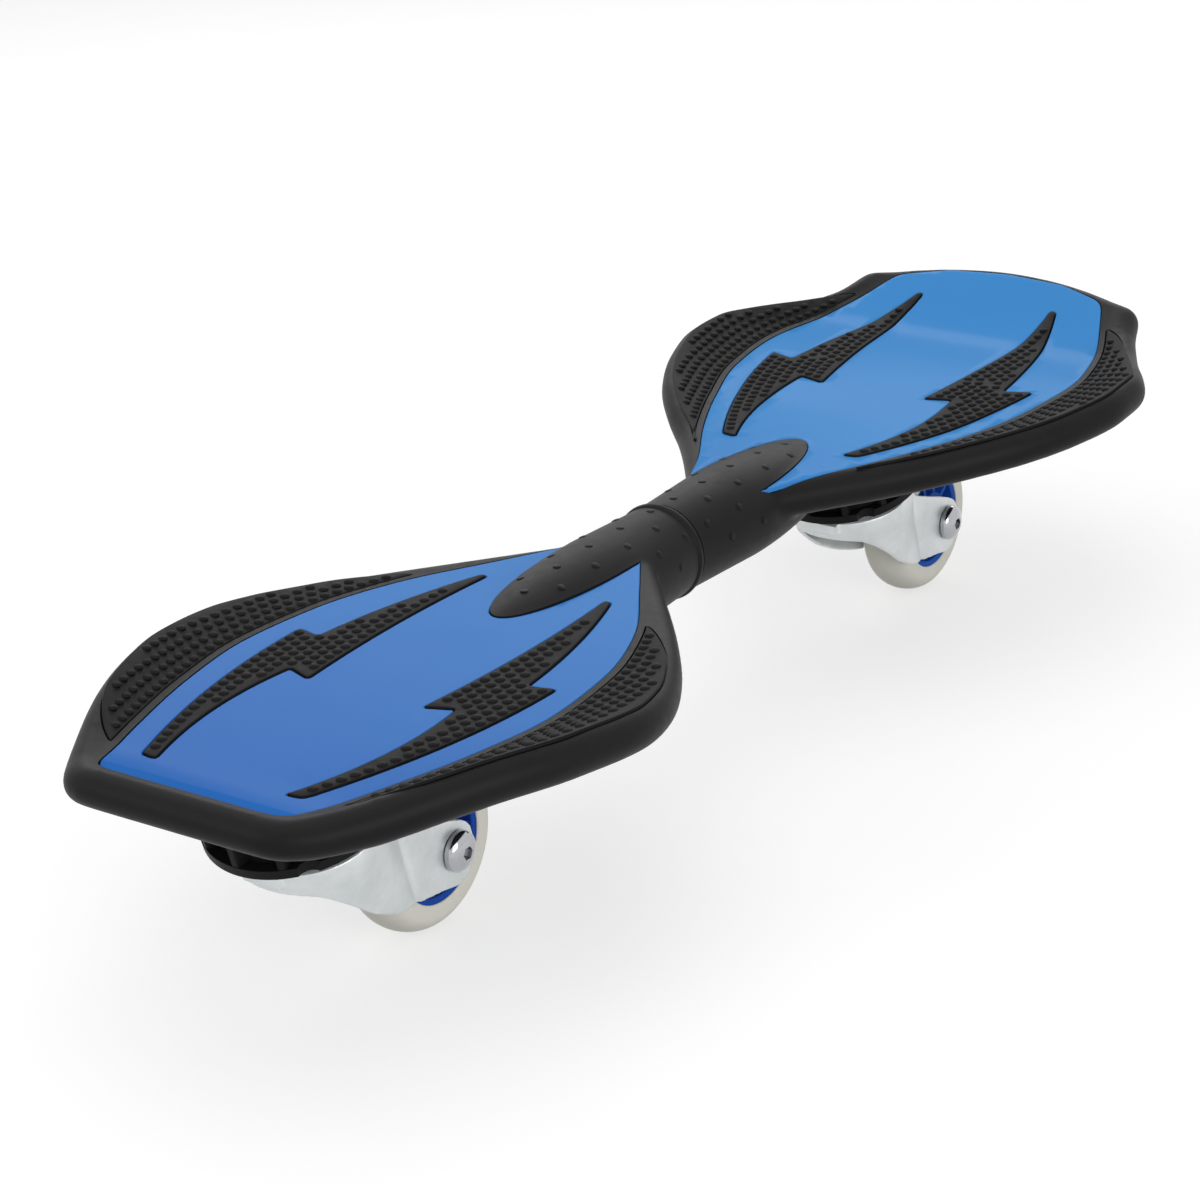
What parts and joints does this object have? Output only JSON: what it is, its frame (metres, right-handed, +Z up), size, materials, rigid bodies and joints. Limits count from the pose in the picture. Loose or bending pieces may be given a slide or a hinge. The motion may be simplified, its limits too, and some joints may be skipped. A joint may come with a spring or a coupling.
{
  "type": "caster board",
  "caption": "Foot-driven caster board: two contoured foot decks joined by a sprung twisting neck, each deck on an inclined trailing caster with a narrow wheel.",
  "frame": {"origin": "on the floor under the middle of the board's length and width", "axes": "+X from the front deck to the rear deck along the twist axis, +Z up, +Y to the board's left when looking along +X"},
  "size_m": [0.6765, 0.25, 0.1412],
  "materials": {
    "deck": "moulded charcoal plastic, fine texture, semi matte",
    "panel": "glossy blue plastic with a darker edge",
    "grip": "matte black moulded grip covered in small rounded bumps",
    "mount": "matte black glass-filled plastic",
    "zinc": "bright zinc-plated pressed steel",
    "chrome": "polished chrome",
    "steel": "plain machined steel",
    "tread": "smooth ivory polyurethane",
    "hub": "moulded blue plastic",
    "bush": "natural acetal"
  },
  "bodies": {
    "front_board": {"front_deck": "deck", "front_panel": "panel", "front_bolt_grip_left": "grip", "front_bolt_grip_right": "grip", "front_side_grip_left": "grip", "front_side_grip_right": "grip", "front_caster_mount": "mount", "front_mount_screw_1": "steel", "front_mount_screw_2": "steel", "front_mount_screw_3": "steel", "front_mount_screw_4": "steel", "front_top_race": "zinc", "front_kingpin": "steel", "front_kingpin_nut": "zinc", "front_neck_bush_near": "bush", "front_neck_bush_far": "bush", "front_bar_anchor": "steel"},
    "rear_board": {"rear_deck": "deck", "rear_panel": "panel", "rear_bolt_grip_left": "grip", "rear_bolt_grip_right": "grip", "rear_side_grip_left": "grip", "rear_side_grip_right": "grip", "rear_caster_mount": "mount", "rear_mount_screw_1": "steel", "rear_mount_screw_2": "steel", "rear_mount_screw_3": "steel", "rear_mount_screw_4": "steel", "rear_top_race": "zinc", "rear_kingpin": "steel", "rear_kingpin_nut": "zinc", "rear_neck_sleeve_near": "bush", "rear_neck_sleeve_far": "bush", "rear_bar_anchor": "steel", "pivot_tube": "steel", "torsion_bar": "steel"},
    "front_swivel": {"front_fork": "zinc", "front_ball_ring": "steel", "front_axle_bolt": "chrome", "front_axle_nut": "zinc", "front_washer_left": "zinc", "front_washer_right": "zinc"},
    "front_wheel": {"front_tyre": "tread", "front_hub": "hub", "front_bearing_left": "steel", "front_bearing_right": "steel", "front_spacer": "steel"},
    "rear_swivel": {"rear_fork": "zinc", "rear_ball_ring": "steel", "rear_axle_bolt": "chrome", "rear_axle_nut": "zinc", "rear_washer_left": "zinc", "rear_washer_right": "zinc"},
    "rear_wheel": {"rear_tyre": "tread", "rear_hub": "hub", "rear_bearing_left": "steel", "rear_bearing_right": "steel", "rear_spacer": "steel"}
  },
  "joints": [
    {"name": "deck_twist", "type": "hinge", "parent": "front_board", "child": "rear_board", "pos_m": [-0.0085, 0, 0.0995], "axis": [1, 0, 0], "range_deg": [-30, 30], "stiffness_Nm_per_rad": 40},
    {"name": "front_caster_swivel", "type": "hinge", "parent": "front_board", "child": "front_swivel", "pos_m": [-0.2655, 0, 0.08], "axis": [-0.2588, 0, 0.9659], "continuous": true},
    {"name": "rear_caster_swivel", "type": "hinge", "parent": "rear_board", "child": "rear_swivel", "pos_m": [0.154, 0, 0.08], "axis": [-0.2588, 0, 0.9659], "continuous": true},
    {"name": "front_wheel_spin", "type": "hinge", "parent": "front_swivel", "child": "front_wheel", "pos_m": [-0.1955, 0, 0.038], "axis": [0, 1, 0], "continuous": true},
    {"name": "rear_wheel_spin", "type": "hinge", "parent": "rear_swivel", "child": "rear_wheel", "pos_m": [0.224, 0, 0.038], "axis": [0, 1, 0], "continuous": true}
  ]
}
